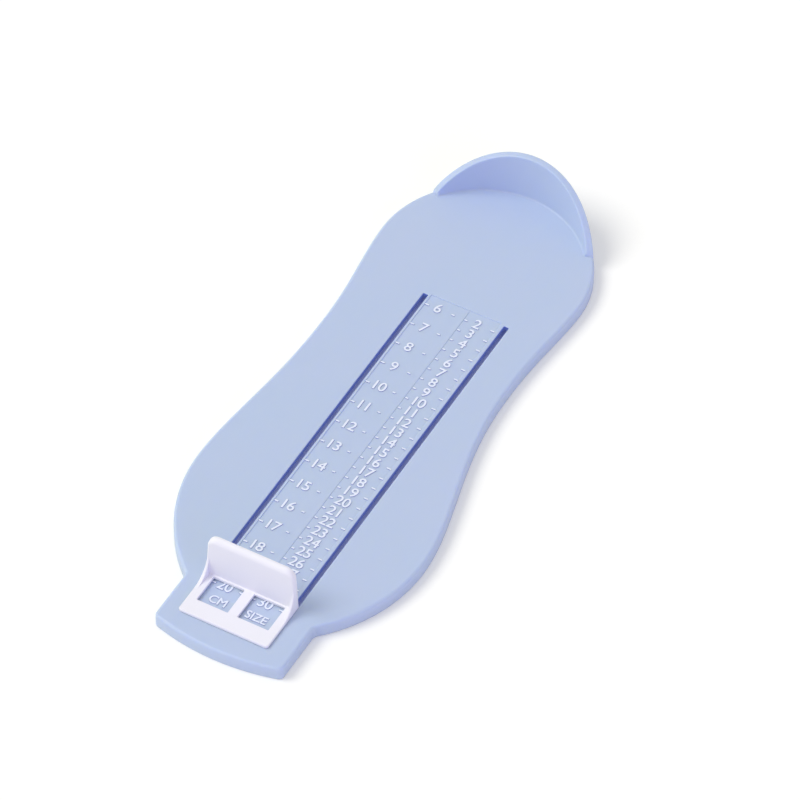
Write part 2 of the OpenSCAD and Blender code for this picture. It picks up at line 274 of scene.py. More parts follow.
def wall_height(i):
    """Height of the cup's wall at station i: full at the back, falling in a low bow."""
    if not in_cup(i):
        return 0
    end_y = HEEL_R * cos(radians(CUP_WRAP))
    u = max(0, (outline[i][1] + CUP_R - end_y) / (HEEL_R - end_y))
    return CUP_STEP_H + (CUP_H - CUP_STEP_H) * u ** CUP_BOW


# Share of their spacing that the inner rings keep past the cup
EDGE_CLOSE = 0.12


def skin_ring(base, share, drop, above_plate=None):
    """One ring of the moulded skin, set in by base and a share of the edge's radius.

    It is dropped by another share of that radius, or with above_plate stands that far above the plate.
    Past the cup the inner rings close up behind the rounded edge.
    """
    ring = []
    for i in range(stations):
        height = wall_height(i)
        radius = RIM_R if in_cup(i) else EDGE_R
        inset = base + share * radius
        inner = base > 0
        fade = min(1, height / (EDGE_R + CUP_FILLET)) if inner else 1
        tuck = EDGE_R + (inset - EDGE_R) * EDGE_CLOSE if inner and not in_cup(i) else inset
        out_x, out_y = outward(i)
        rise = height - fade * drop * radius if above_plate is None else fade * above_plate
        ring.append((outline[i][0] - tuck * out_x, outline[i][1] - tuck * out_y, PLATE_H + rise))
    return ring


# ---- Mesh tools ----

def ring_edges(bm, ring):
    """Edges of a closed ring of vertices, made where they are missing."""
    pairs = zip(ring, ring[1:] + ring[:1])
    return [bm.edges.get(pair) or bm.edges.new(pair) for pair in pairs]


def new_ring(bm, points):
    """A closed ring of vertices and edges."""
    ring = [bm.verts.new(p) for p in points]
    ring_edges(bm, ring)
    return ring


def extrude_ring(bm, ring, points):
    """Extrudes a closed ring and moves the new ring onto its points."""
    made = bmesh.ops.extrude_edge_only(bm, edges=ring_edges(bm, ring))["geom"]
    fresh = {item for item in made if isinstance(item, bmesh.types.BMVert)}
    following = [next(e.other_vert(v) for e in v.link_edges if e.other_vert(v) in fresh) for v in ring]
    for vert, point in zip(following, points):
        vert.co = point
    return following


def loft(bm, sections):
    """Joins closed rings of points one after another. Returns the first and the last ring's vertices."""
    rings = []
    for points in sections:
        rings.append(extrude_ring(bm, rings[-1], points) if rings else new_ring(bm, points))
    return rings[0], rings[-1]


def fill(bm, rings):
    """Fills the flat region between the first ring and the rings inside it."""
    edges = [edge for ring in rings for edge in ring_edges(bm, ring)]
    bmesh.ops.triangle_fill(bm, use_beauty=True, edges=edges)


# Steps round each corner of a rectangle
RECT_STEPS = 4


def rounded_rect(low, high, radius, grow, z):
    """Points of a rectangle with rounded corners, grown outwards by grow."""
    r = radius + grow
    corners = [(high[0], high[1], 0), (low[0], high[1], 90), (low[0], low[1], 180), (high[0], low[1], 270)]
    points = []
    for x, y, turn in corners:
        inward = (-radius if turn in (0, 270) else radius, -radius if turn in (0, 90) else radius)
        centre = (x + inward[0], y + inward[1])
        points += [(centre[0] + r * cos(radians(turn)), centre[1] + r * sin(radians(turn)))]
        points += arc(centre, r, turn, turn + 90, RECT_STEPS)
    return [(x, y, z) for x, y in points]


# Angles round a rounded edge
QUARTER = [0, 15, 30, 45, 60, 75, 90]


def turned(radius, angle):
    """How far a rounded edge has come in, and how far it still is below the top."""
    return radius * (1 - cos(radians(angle))), radius * (1 - sin(radians(angle)))


def lipped_opening(bm, low, high, corner, lip, top_z, floor_z):
    """An opening in a flat top with a rounded lip and straight walls. Returns its top and bottom rings."""
    sections = []
    for angle in QUARTER[::2]:
        fall, over = turned(lip, angle)
        sections.append(rounded_rect(low, high, corner, over, top_z - fall))
    sections.append(rounded_rect(low, high, corner, 0, floor_z))
    return loft(bm, sections)


# Distance within which a vertex is on a cut, and distance within which two places are one
CUT_DIST = 1e-5
TOUCH = 1e-3


def near(value, place):
    """Whether a value is at a place."""
    return abs(value - place) < TOUCH


def cut_at(bm, faces, axis, places):
    """Cuts the given faces at planes square to one axis."""
    normal = Vector((axis == "x", axis == "y", axis == "z"))
    for place in places:
        cells = [f for f in faces() if f.is_valid]
        geom = list(set(cells) | {e for f in cells for e in f.edges} | {v for f in cells for v in f.verts})
        bmesh.ops.bisect_plane(bm, geom=geom, dist=CUT_DIST, plane_co=normal * place, plane_no=normal)


def bevel_edges(bm, edges, offset, segments):
    """Rounds the given edges."""
    bmesh.ops.bevel(bm, geom=edges, offset=offset, offset_type="OFFSET", segments=segments, profile=0.5,
                    affect="EDGES", clamp_overlap=True, material=-1)


def on_slots(bm):
    """Moves what lines up with the slots from the centre line to their middle."""
    bmesh.ops.translate(bm, verts=bm.verts, vec=(SLOT_SHIFT, 0, 0))


def seat(bm):
    """Brings a piece from millimetres in the gauge's own frame to metres in the shared frame."""
    bmesh.ops.translate(bm, verts=bm.verts, vec=SHIFT)
    bmesh.ops.scale(bm, verts=bm.verts, vec=(MM, MM, MM))


# A face is flat when its normal is this near to an axis, and an edge is sharp past this bend
FLAT = 0.99999
CREASE = radians(32)


def shade(bm):
    """Smooth shading with creases, and flat faces left flat."""
    for face in bm.faces:
        face.smooth = max(abs(c) for c in face.normal) < FLAT
    for edge in bm.edges:
        edge.smooth = len(edge.link_faces) == 2 and edge.calc_face_angle(pi) < CREASE


def finish(name, bm, materials, body, replaced=()):
    """Turns a mesh in millimetres into a piece that rides on a body."""
    bmesh.ops.recalc_face_normals(bm, faces=bm.faces)
    seat(bm)
    bm.normal_update()
    shade(bm)
    mesh = bpy.data.meshes.new(name)
    bm.to_mesh(mesh)
    bm.free()
    for material in materials:
        mesh.materials.append(material)
    piece = bpy.data.objects.new(name, mesh)
    bpy.context.scene.collection.objects.link(piece)
    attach(piece, body)
    if replaced:
        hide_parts(*replaced)


# ---- Materials ----

# Scale and detail of the noise in the colour, the sheen and the grain
CLOUD_NOISE = (38, 2)
SHEEN_NOISE = (160, 3)
GRAIN_NOISE = (2600, 2)
CLOUD_SHARE = 0.6
ROUGHNESS_LOW = 0.42
ROUGHNESS_HIGH = 0.52
GRAIN_STRENGTH = 0.25
GRAIN_DEPTH = 0.00002

# How the plastic bends light, and how far and in which colours light travels inside it
PLASTIC_IOR = 1.49
PLASTIC_SPECULAR = 0.4
BLUE_DEPTH = 0.4
DEPTH_COLOUR = (0.5, 0.6, 1.0)
DEPTH_REACH = 0.003
NO_GLOW = (0, 0, 0, 1)


def noise(group, place, scale, detail):
    """Factor of a noise texture inside a shader group."""
    texture = group.nodes.new("ShaderNodeTexNoise")
    texture.inputs["Scale"].default_value = scale
    texture.inputs["Detail"].default_value = detail
    group.links.new(place.outputs["Object"], texture.inputs["Vector"])
    return texture.outputs["Fac"]


def clouded_colour(group, place, inside):
    """The plastic's colour, faintly clouded by a second one."""
    share = group.nodes.new("ShaderNodeMath")
    share.operation = "MULTIPLY"
    share.inputs[1].default_value = CLOUD_SHARE
    group.links.new(noise(group, place, *CLOUD_NOISE), share.inputs[0])
    tint = group.nodes.new("ShaderNodeMix")
    tint.data_type = "RGBA"
    group.links.new(share.outputs["Value"], tint.inputs["Factor"])
    group.links.new(inside.outputs["Colour"], tint.inputs["A"])
    group.links.new(inside.outputs["Cloud Colour"], tint.inputs["B"])
    return tint.outputs["Result"]


def drifting_sheen(group, place):
    """Roughness that drifts between two levels."""
    sheen = group.nodes.new("ShaderNodeMapRange")
    sheen.inputs["To Min"].default_value = ROUGHNESS_LOW
    sheen.inputs["To Max"].default_value = ROUGHNESS_HIGH
    group.links.new(noise(group, place, *SHEEN_NOISE), sheen.inputs["Value"])
    return sheen.outputs["Result"]


def make_moulded_skin():
    """Shader group for a satin moulding: faintly cloudy colour, drifting sheen and spark-eroded grain."""
    group = bpy.data.node_groups.new("moulded_skin", "ShaderNodeTree")
    for name in ("Colour", "Cloud Colour"):
        group.interface.new_socket(name=name, in_out="INPUT", socket_type="NodeSocketColor")
    for name, kind in (("Colour", "Color"), ("Roughness", "Float"), ("Height", "Float")):
        group.interface.new_socket(name=name, in_out="OUTPUT", socket_type="NodeSocket" + kind)
    inside = group.nodes.new("NodeGroupInput")
    outside = group.nodes.new("NodeGroupOutput")
    place = group.nodes.new("ShaderNodeTexCoord")
    group.links.new(clouded_colour(group, place, inside), outside.inputs["Colour"])
    group.links.new(drifting_sheen(group, place), outside.inputs["Roughness"])
    group.links.new(noise(group, place, *GRAIN_NOISE), outside.inputs["Height"])
    return group


def srgb(red, green, blue):
    """A display colour, 0 to 255, as the linear colour that a shader takes."""
    def linear(level):
        c = level / 255
        return c / 12.92 if c <= 0.04045 else ((c + 0.055) / 1.055) ** 2.4
    return linear(red), linear(green), linear(blue), 1


moulded_skin = make_moulded_skin()


def moulded_plastic(name, colour, cloud_colour, depth=0, glow=NO_GLOW):
    """A satin moulded plastic built on the shared moulded skin."""
    material = bpy.data.materials.new(name)
    material.use_nodes = True
    nodes, links = material.node_tree.nodes, material.node_tree.links
    plastic = nodes["Principled BSDF"]
    plastic.inputs["IOR"].default_value = PLASTIC_IOR
    plastic.inputs["Specular IOR Level"].default_value = PLASTIC_SPECULAR
    plastic.inputs["Subsurface Weight"].default_value = depth
    plastic.inputs["Subsurface Radius"].default_value = DEPTH_COLOUR
    plastic.inputs["Subsurface Scale"].default_value = DEPTH_REACH
    # A glow is painted light: the surface shines without a lamp.
    plastic.inputs["Emission Color"].default_value = glow
    plastic.inputs["Emission Strength"].default_value = 1
    skin = nodes.new("ShaderNodeGroup")
    skin.node_tree = moulded_skin
    skin.inputs["Colour"].default_value = colour
    skin.inputs["Cloud Colour"].default_value = cloud_colour
    bump = nodes.new("ShaderNodeBump")
    bump.inputs["Strength"].default_value = GRAIN_STRENGTH
    bump.inputs["Distance"].default_value = GRAIN_DEPTH
    links.new(skin.outputs["Height"], bump.inputs["Height"])
    links.new(skin.outputs["Colour"], plastic.inputs["Base Color"])
    links.new(skin.outputs["Roughness"], plastic.inputs["Roughness"])
    links.new(bump.outputs["Normal"], plastic.inputs["Normal"])
    return material


pale_blue = moulded_plastic("pale_blue_plastic", srgb(187, 204, 228), srgb(193, 203, 230), BLUE_DEPTH)
# The slot walls' deep blue is painted shade, and their emission is a painted blue glow in the shaded slots.
slot_painted_shade_and_glow = moulded_plastic("slot_wall_painted_shade_and_glow", srgb(96, 112, 190), srgb(90, 105, 185), BLUE_DEPTH,
                            srgb(54, 66, 104))
raised_white = moulded_plastic("raised_scale_white", srgb(236, 242, 253), srgb(228, 236, 252))
# The steep sides of the raised marks and numerals are painted shade, a darker blue.
raised_side_painted_shade = moulded_plastic("raised_side_painted_shade_blue", srgb(128, 142, 200), srgb(122, 138, 198))
slider_white = moulded_plastic("slider_white_plastic", srgb(243, 242, 246), srgb(238, 238, 246))
retainer_white = moulded_plastic("retainer_white_plastic", srgb(238, 237, 243), srgb(232, 231, 240))


# ---- Plate ----

def plate_rings():
    """Rings of points of the moulded skin, from the table up over the edge to the flat top."""
    rims = [(place, outward(i)) for i, place in enumerate(outline)]
    yield [(x - FOOT_R * out_x, y - FOOT_R * out_y, 0) for (x, y), (out_x, out_y) in rims]
    yield [(x, y, FOOT_R) for x, y in outline]
    for angle in QUARTER:
        yield skin_ring(0, *turned(1, angle))
    for angle in QUARTER:
        over, fall = turned(1, 90 - angle)
        yield skin_ring(CUP_T, -over, fall)
    for angle in QUARTER:
        inset, rise = turned(CUP_FILLET, angle)
        yield skin_ring(CUP_T + CUP_DRAFT + inset, 0, 0, rise)


def slot_corners(side):
    """Lowest and highest corner of one guide slot in plan."""
    middle = SLOT_SHIFT + side * SLOT_GAP / 2
    return (middle - SLOT_W / 2, -SLOT_END), (middle + SLOT_W / 2, -SLOT_START)


# Distances of the cross ribs from zero, and the rounding of the pockets' corners past a certain turn
CROSS_RIBS = [CHANNEL_AT % RIB_PITCH + RIB_PITCH * i for i in range(int(TONGUE_TIP / RIB_PITCH) + 1)]
POCKET_CORNER = 0.8
POCKET_TURN = radians(25)


def on_rib(x, y):
    """Whether a place on the underside is on a rail, a cross rib or the heel's lengthwise rib."""
    beside_channel = y < -CHANNEL_AT
    from_middle = abs(x - SLOT_SHIFT)
    if beside_channel and from_middle < CHANNEL_HALF + RIB_T:
        return from_middle > CHANNEL_HALF
    if any(-at < y < RIB_T - at for at in CROSS_RIBS):
        return True
    return not beside_channel and abs(x - CUP_SHIFT) < RIB_T / 2


def in_channel(x, y):
    """Whether a place on the underside is in the retainer's channel, between the two rails."""
    return y < -CHANNEL_AT and abs(x - SLOT_SHIFT) < CHANNEL_HALF


def pocket_faces(bm):
    """The flat regions between skirt and ribs, at table level."""
    whole = bm.faces.new([bm.verts.new((x, y, 0)) for x, y in outline])
    bm.normal_update()
    skirt = bmesh.ops.inset_region(bm, faces=[whole], thickness=SKIRT_T, use_boundary=True,
                                    use_even_offset=True)["faces"]
    bmesh.ops.delete(bm, geom=skirt, context="FACES")
    rails = [SLOT_SHIFT + side * x for side in (-1, 1) for x in (CHANNEL_HALF, CHANNEL_HALF + RIB_T)]
    cut_at(bm, lambda: bm.faces, "x", rails + [CUP_SHIFT - RIB_T / 2, CUP_SHIFT + RIB_T / 2])
    cut_at(bm, lambda: bm.faces, "y", [-at for at in CROSS_RIBS] + [RIB_T - at for at in CROSS_RIBS])
    ribs = [f for f in bm.faces if on_rib(*f.calc_center_median().xy)]
    bmesh.ops.delete(bm, geom=ribs, context="FACES")
    inner = [e for e in bm.edges if len(e.link_faces) == 2]
    bmesh.ops.dissolve_edges(bm, edges=inner, use_verts=True)


def corner_verts(bm):
    """Vertices where the edge of a pocket turns sharply."""
    return [v for v in bm.verts if len(v.link_edges) == 2 and v.calc_edge_angle(0) > POCKET_TURN]


def pockets(bm):
    """The hollow underside, up to the skin. Returns the pockets' rims and the roof of the channel."""
    flat = bmesh.new()
    pocket_faces(flat)
    bmesh.ops.bevel(flat, geom=corner_verts(flat), offset=POCKET_CORNER, segments=4, profile=0.5,
                    affect="VERTICES", clamp_overlap=True, material=-1)
    rims = []
    for face in flat.faces:
        corners = [v.co.xy for v in face.verts]
        rim, roof = loft(bm, [[(x, y, z) for x, y in corners] for z in (0, SKIN_Z)])
        rims.append(rim)
        if in_channel(*face.calc_center_bounds().xy):
            channel = roof
        else:
            fill(bm, [roof])
    flat.free()
    return rims, channel


def scale_panel(bm):
    """The sunk panel with its engraved line. Returns its top ring."""
    low = (-PANEL_HALF, -SLOT_END - PANEL_MARGIN)
    high = (PANEL_HALF, -SLOT_START + PANEL_MARGIN)
    top, floor = lipped_opening(bm, low, high, SLOT_CORNER, PANEL_LIP, PLATE_H, PANEL_Z)
    line_low = (SIZE_LINE - LINE_W / 2, -SLOT_END)
    line_high = (SIZE_LINE + LINE_W / 2, -SLOT_START)
    depths = (PANEL_Z, PANEL_Z - LINE_DEPTH)
    groove, groove_floor = loft(bm, [rounded_rect(line_low, line_high, LINE_W / 4, 0, z) for z in depths])
    fill(bm, [groove_floor])
    fill(bm, [floor, groove])
    return top


def gauge_plate():
    """The gauge plate: rounded skin with its heel cup, lipped slots, scale panel and hollow underside."""
    bm = bmesh.new()
    lowest, top = loft(bm, plate_rings())
    rims, channel = pockets(bm)
    before = set(bm.faces)
    slots = [lipped_opening(bm, *slot_corners(side), SLOT_CORNER, SLOT_LIP, PLATE_H, SKIN_Z)
             for side in (-1, 1)]
    slot_walls = set(bm.faces) - before
    slot_tops, slot_floors = zip(*slots)
    fill(bm, [top, scale_panel(bm), *slot_tops])
    fill(bm, [channel, *slot_floors])
    fill(bm, [lowest, *rims])
    # Slot walls below the lip take the painted shade and the painted glow.
    for face in slot_walls:
        if face.calc_center_median().z < PLATE_H - SLOT_LIP:
            face.material_index = 1
    finish("moulded_plate", bm, [pale_blue, slot_painted_shade_and_glow], "plate", ["gauge_plate"])


# ---- Scale ----

MARK_ROUND = 0.1
# A face whose normal rises less than this is steep
STEEP = 0.6


def shade_sides(bm):
    """Gives the steep sides of what is raised the second material: the plate's blue, darkened as painted
    shade.
    """
    bmesh.ops.recalc_face_normals(bm, faces=bm.faces)
    for face in bm.faces:
        face.material_index = int(face.normal.z < STEEP)


def mark_column(bm, x, length, first, last, step):
    """One column of raised bars, from first to last on the scale."""
    count = round((last - first) / step)
    for i in range(count + 1):
        place = Vector((x + length / 2, -first - i * step, PANEL_Z + (MARK_H - MARK_ROOT) / 2))
        size = Matrix.Diagonal((length, MARK_W, MARK_H + MARK_ROOT, 1))
        bmesh.ops.create_cube(bm, size=1, matrix=Matrix.Translation(place) @ size)


def scale_marks():
    """The raised marks: whole centimetres on the left, half centimetres on the right."""
    bm = bmesh.new()
    first, last = FIRST_CM * CM, LAST_CM * CM
    mark_column(bm, -PANEL_HALF, EDGE_MARK, first, last, CM)
    mark_column(bm, CM_COLUMN - INNER_MARK / 2, INNER_MARK, first, last, CM)
    mark_column(bm, SIZE_LINE + LINE_W / 2, INNER_MARK, first, last, CM / 2)
    mark_column(bm, PANEL_HALF - EDGE_MARK, EDGE_MARK, first, last, CM / 2)
    upper = [e for e in bm.edges if max(v.co.z for v in e.verts) > PANEL_Z]
    bevel_edges(bm, upper, MARK_ROUND, 2)
    shade_sides(bm)
    finish("raised_marks", bm, [raised_white, raised_side_painted_shade], "plate")


# Numerals and words. FONT_RATIO is the height of a capital in a type of size 1.
NUMERAL_H = 4.1
WORD_H = 3.3
NUMERAL_ROUND = 0.11
NUMERAL_WELD = 0.001
LETTER_SPACE = 0.94
FONT_RATIO = 0.73


def raised_text(bm, body, x, y, height):
    """Adds one raised word or number to a mesh, upright towards the toes and centred on its place."""
    curve = bpy.data.curves.new("raised_text", "FONT")
    curve.body = body
    curve.align_x = "CENTER"
    curve.align_y = "CENTER"
    curve.size = height / FONT_RATIO
    curve.space_character = LETTER_SPACE
    curve.extrude = (MARK_H + MARK_ROOT) / 2 - NUMERAL_ROUND
    curve.bevel_depth = NUMERAL_ROUND
    curve.bevel_resolution = 1
    curve.resolution_u = 4
    text = bpy.data.objects.new("raised_text", curve)
    mesh = bpy.data.meshes.new_from_object(text)
    bpy.data.objects.remove(text)
    bpy.data.curves.remove(curve)
    mesh.transform(Matrix.Translation((x, y, PANEL_Z + (MARK_H - MARK_ROOT) / 2)))
    bm.from_mesh(mesh)
    bpy.data.meshes.remove(mesh)


FIRST_SIZE = 2
CM_NUMERAL_X = -8.3
SIZE_NUMERAL_X = 6.6
CM_WORD_X = -7.2
SIZE_WORD_X = 7.0
WORDS_AT = 206.5


def numerals():
    """The raised numbers of both scales and the two words under the slider's windows."""
    bm = bmesh.new()
    for cm in range(FIRST_CM, LAST_CM + 1):
        raised_text(bm, str(cm), CM_NUMERAL_X, -cm * CM, NUMERAL_H)
    halves = 2 * (LAST_CM - FIRST_CM)
    for i in range(halves + 1):
        raised_text(bm, str(FIRST_SIZE + i), SIZE_NUMERAL_X, -(FIRST_CM + i / 2) * CM, NUMERAL_H)
    raised_text(bm, "CM", CM_WORD_X, -WORDS_AT, WORD_H)
    raised_text(bm, "SIZE", SIZE_WORD_X, -WORDS_AT, WORD_H)
    bmesh.ops.remove_doubles(bm, verts=bm.verts, dist=NUMERAL_WELD)
    shade_sides(bm)
    finish("raised_numerals", bm, [raised_white, raised_side_painted_shade], "plate")


# ---- Slider ----

FRAME_STEPS = 4
WEB_STEPS = 18
CORNER_STEPS = 12
FOOT_STEPS = 4
# Edge stations at which the web and the stop begin
WEB_AT = FRAME_STEPS + 1
STOP_AT = WEB_AT + WEB_STEPS
# A face whose normal falls below this faces down
FACING_DOWN = -0.9
# Height above a leg's foot from which a place belongs to the jutting edge of its hook
HOOK_SOLE = 0.1
SLIDER_WELD = 1e-4
STOP_FACE = TOE_FACE - STOP_T
CORNER_X = SLIDER_W / 2 - STOP_TAPER - STOP_CORNER_R
CORNER_Z = STOP_TOP - STOP_CORNER_R


def half_width(z):
    """Half the slider's width at a height: straight at the frame, then tapered up the stop."""
    share = (z - FRAME_TOP) / (CORNER_Z - FRAME_TOP)
    return SLIDER_W / 2 - STOP_TAPER * min(1, max(0, share))


def frame_corner():
    """Edge stations round the frame's right corner at the toe end."""
    middle = Vector((SLIDER_W / 2 - FRAME_CORNER_R, TOE_FACE - SLIDER_LEN + FRAME_CORNER_R, FRAME_TOP))
    for turn in spread(-90, 0, FRAME_STEPS):
        way = Vector((cos(radians(turn)), sin(radians(turn)), 0))
        yield middle + FRAME_CORNER_R * way, -way, Vector((0, 0, 1)), FRAME_ROUND


def web_curve():
    """Places and outward directions up the hollow edge of the webs, in their side view."""
    for turn in spread(-90, 0, WEB_STEPS):
        way = Vector((0, cos(radians(turn)), sin(radians(turn))))
        yield Vector((0, STOP_FACE - WEB_R, FRAME_TOP + WEB_R)) + WEB_R * way, -way


def web_side():
    """Edge stations up the right side of the right web."""
    for step, (place, out) in enumerate(web_curve()):
        radius = FRAME_ROUND + (WEB_ROUND - FRAME_ROUND) * step / WEB_STEPS
        place.x = half_width(place.z - radius * out.z)
        yield place, Vector((-1, 0, 0)), out, radius


def stop_corner(face_y, facing, side_r, top_r):
    """Edge stations round the right top corner of the stop, on one of its faces."""
    middle = Vector((CORNER_X, face_y, CORNER_Z))
    out = Vector((0, facing, 0))
    for turn in spread(0, 90, CORNER_STEPS):
        way = Vector((cos(radians(turn)), 0, sin(radians(turn))))
        yield middle + STOP_CORNER_R * way, -way, out, side_r + (top_r - side_r) * turn / 90


def heel_side(levels):
    """Edge stations up the right side of the stop's flat face, at the given heights."""
    yield Vector((SLIDER_W / 2, TOE_FACE, FRAME_Z)), Vector((-1, 0, 1)), Vector((0, 1, 0)), STOP_EDGE_R
    for z in levels:
        yield Vector((half_width(z), TOE_FACE, z)), Vector((-1, 0, 0)), Vector((0, 1, 0)), STOP_EDGE_R


def both_sides(right):
    """Completes edge stations of the right half with their mirror images, on to the left."""
    flip = Vector((-1, 1, 1))
    return right + [(place * flip, inward * flip, *rest) for place, inward, *rest in right[::-1]]


def rounded_rows(bm, edge_stations):
    """Rounds a closed edge over its stations. Returns the first and the last row of vertices."""
    sections = []
    for angle in QUARTER:
        points = []
        for place, inward, out, radius in edge_stations:
            inset, drop = turned(radius, angle)
            points.append(place + inset * inward - drop * out)
        sections.append(points)
    return loft(bm, sections)


def strip(bm, one, other):
    """Faces between two open rows of vertices."""
    for i in range(len(one) - 1):
        bm.faces.new((one[i], one[i + 1], other[i + 1], other[i]))


def web_inside(bm, side):
    """The inner face of one web. Returns its hollow edge and its foot, both from the toes to the heel."""
    x = side * (SLIDER_W / 2 - WEB_T)
    crest = [bm.verts.new((x, *place.yz)) for place, _ in web_curve()]
    foot_c = (STOP_FACE - FOOT_FILLET_R, FRAME_TOP + FOOT_FILLET_R)
    foot = [bm.verts.new((x, foot_c[0], FRAME_TOP))]
    foot += [bm.verts.new((x, y, z)) for y, z in arc(foot_c, FOOT_FILLET_R, -90, 0, FOOT_STEPS)]
    bm.faces.new(crest + foot[::-1])
    return crest, foot


def windows(bm):
    """The walls of the two reading windows. Returns their upper and lower rings."""
    toe_end = TOE_FACE - SLIDER_LEN + WINDOW_FRONT
    heel_end = STOP_FACE - WINDOW_BACK
    for side in (-1, 1):
        middle = side * (WINDOW_BAR + WINDOW_W) / 2
        low, high = (middle - WINDOW_W / 2, toe_end), (middle + WINDOW_W / 2, heel_end)
        yield lipped_opening(bm, low, high, WINDOW_CORNER, WINDOW_ROUND, FRAME_TOP, FRAME_Z)


def frame_sides(bm, toe_edge, heel_edge):
    """The frame's sides, down from its rounded edge. Returns the outline of its underside."""
    right = [bm.verts.new((*v.co.xy, FRAME_Z)) for v in toe_edge[:WEB_AT]]
    left = [bm.verts.new((*v.co.xy, FRAME_Z)) for v in toe_edge[-WEB_AT:]]
    strip(bm, toe_edge[-WEB_AT:] + toe_edge[:WEB_AT], left + right)
    bm.faces.new((right[-1], toe_edge[WEB_AT - 1], toe_edge[WEB_AT], heel_edge[1], heel_edge[0]))
    bm.faces.new((left[0], toe_edge[-WEB_AT], toe_edge[-WEB_AT - 1], heel_edge[-2], heel_edge[-1]))
    return right + [heel_edge[0], heel_edge[-1]] + left


def between_webs(bm, toe_skin):
    """The insides of the webs and the stop's face between them. Returns the outline of the frame's top."""
    crest_r, foot_r = web_inside(bm, 1)
    crest_l, foot_l = web_inside(bm, -1)
    strip(bm, toe_skin[WEB_AT:STOP_AT + 1], crest_r)
    strip(bm, toe_skin[-STOP_AT - 1:-WEB_AT][::-1], crest_l)
    strip(bm, foot_r, foot_l)
    bm.faces.new(toe_skin[STOP_AT:-STOP_AT] + [crest_l[-1], foot_l[-1], foot_r[-1], crest_r[-1]])
    feet = [crest_r[0], foot_r[0], foot_l[0], crest_l[0]]
    return toe_skin[:WEB_AT + 1] + feet + toe_skin[-WEB_AT - 1:]


def slider_skin(bm):
    """The slider's shell: frame, webs and stop, with every upper edge rounded."""
    right = [*frame_corner(), *web_side(), *stop_corner(STOP_FACE, -1, STOP_SIDE_R, STOP_BROW_R)]
    toe_edge, toe_skin = rounded_rows(bm, both_sides(right))
    levels = [v.co.z for v in toe_edge[WEB_AT:STOP_AT + 1]]
    right = [*heel_side(levels), *stop_corner(TOE_FACE, 1, STOP_EDGE_R, STOP_EDGE_R)]
    heel_edge, heel_skin = rounded_rows(bm, both_sides(right))
    strip(bm, toe_edge[WEB_AT:-WEB_AT], heel_edge[1:-1])
    bm.faces.new(heel_skin)
    underside = frame_sides(bm, toe_edge, heel_edge)
    top = between_webs(bm, toe_skin)
    upper, lower = zip(*windows(bm))
    fill(bm, [top, *upper])
    fill(bm, [underside, *lower])


def leg_foot(bm, side):
    """Faces of the frame's underside that one leg is drawn from."""
    def on_foot(f):
        x, y, z = f.calc_center_median()
        return LEG_OUT - LEG_T < x * side < LEG_OUT and LEG_TOE < y < LEG_HEEL and near(z, FRAME_Z)

    return [f for f in bm.faces if on_foot(f)]


def draw_leg(bm, side):
    """One leg, drawn down past its hook's upper edge to its foot."""
    bmesh.ops.dissolve_faces(bm, faces=leg_foot(bm, side), use_verts=False)
    feet = leg_foot(bm, side)
    for level in (HOOK_TOP, HOOK_FOOT):
        made = bmesh.ops.extrude_face_region(bm, geom=feet)["geom"]
        feet = [item for item in made if isinstance(item, bmesh.types.BMFace)]
        for v in {v for f in feet for v in f.verts}:
            v.co.z = level


def draw_hook(bm, side):
    """The hook on the outside of one leg: its upper edge juts out, and its face slopes back to the foot."""
    margin = (LEG_LEN - HOOK_LEN) / 2
    toe, heel = LEG_TOE + margin, LEG_HEEL - margin

    def below():
        low = [f for f in bm.faces if max(v.co.z for v in f.verts) < HOOK_TOP + TOUCH]
        return [f for f in low if f.calc_center_median().x * side > 0]

    def on_hook(f):
        x, y, z = f.calc_center_median()
        return near(x, side * LEG_OUT) and toe < y < heel and z > HOOK_FOOT + HOOK_SOLE

    cut_at(bm, below, "y", [toe, heel])
    walls = [f for f in below() if on_hook(f)]
    made = bmesh.ops.extrude_face_region(bm, geom=walls)["geom"]
    for v in [item for item in made if isinstance(item, bmesh.types.BMVert)]:
        if v.co.z > HOOK_FOOT + HOOK_SOLE:
            v.co.x += side * HOOK_REACH


def legs(bm):
    """The two hooked legs, drawn down from the frame's underside through the slots."""
    def underside():
        return [f for f in bm.faces if f.normal.z < FACING_DOWN]

    bm.normal_update()
    cut_at(bm, underside, "x", [-LEG_OUT, LEG_T - LEG_OUT, LEG_OUT - LEG_T, LEG_OUT])
    cut_at(bm, underside, "y", [LEG_TOE, LEG_HEEL])
    for side in (-1, 1):
        draw_leg(bm, side)
        draw_hook(bm, side)


def toe_slider():
    """The toe slider: stop, webs, framed windows and hooked legs in one moulding."""
    bm = bmesh.new()
    slider_skin(bm)
    bmesh.ops.recalc_face_normals(bm, faces=bm.faces)
    legs(bm)
    bmesh.ops.remove_doubles(bm, verts=bm.verts, dist=SLIDER_WELD)
    on_slots(bm)
    finish("windowed_slider", bm, [slider_white], "slider", ["toe_slider"])


# ---- Retainer ----

def retainer_loops(low, high):
    """The retainer's outline and openings: two corners, corner radius, and the way out of the plastic."""
    yield low, high, RETAINER_R, -1
    opening_w = LEG_T + FLEX_ROOM + LEG_FIT
    for side in (-1, 1):
        middle = side * (LEG_OUT + LEG_FIT - opening_w / 2)
        opening_low = (middle - opening_w / 2, LEG_TOE - LEG_FIT)
        opening_high = (middle + opening_w / 2, LEG_HEEL + LEG_FIT)
        yield opening_low, opening_high, OPENING_R, 1


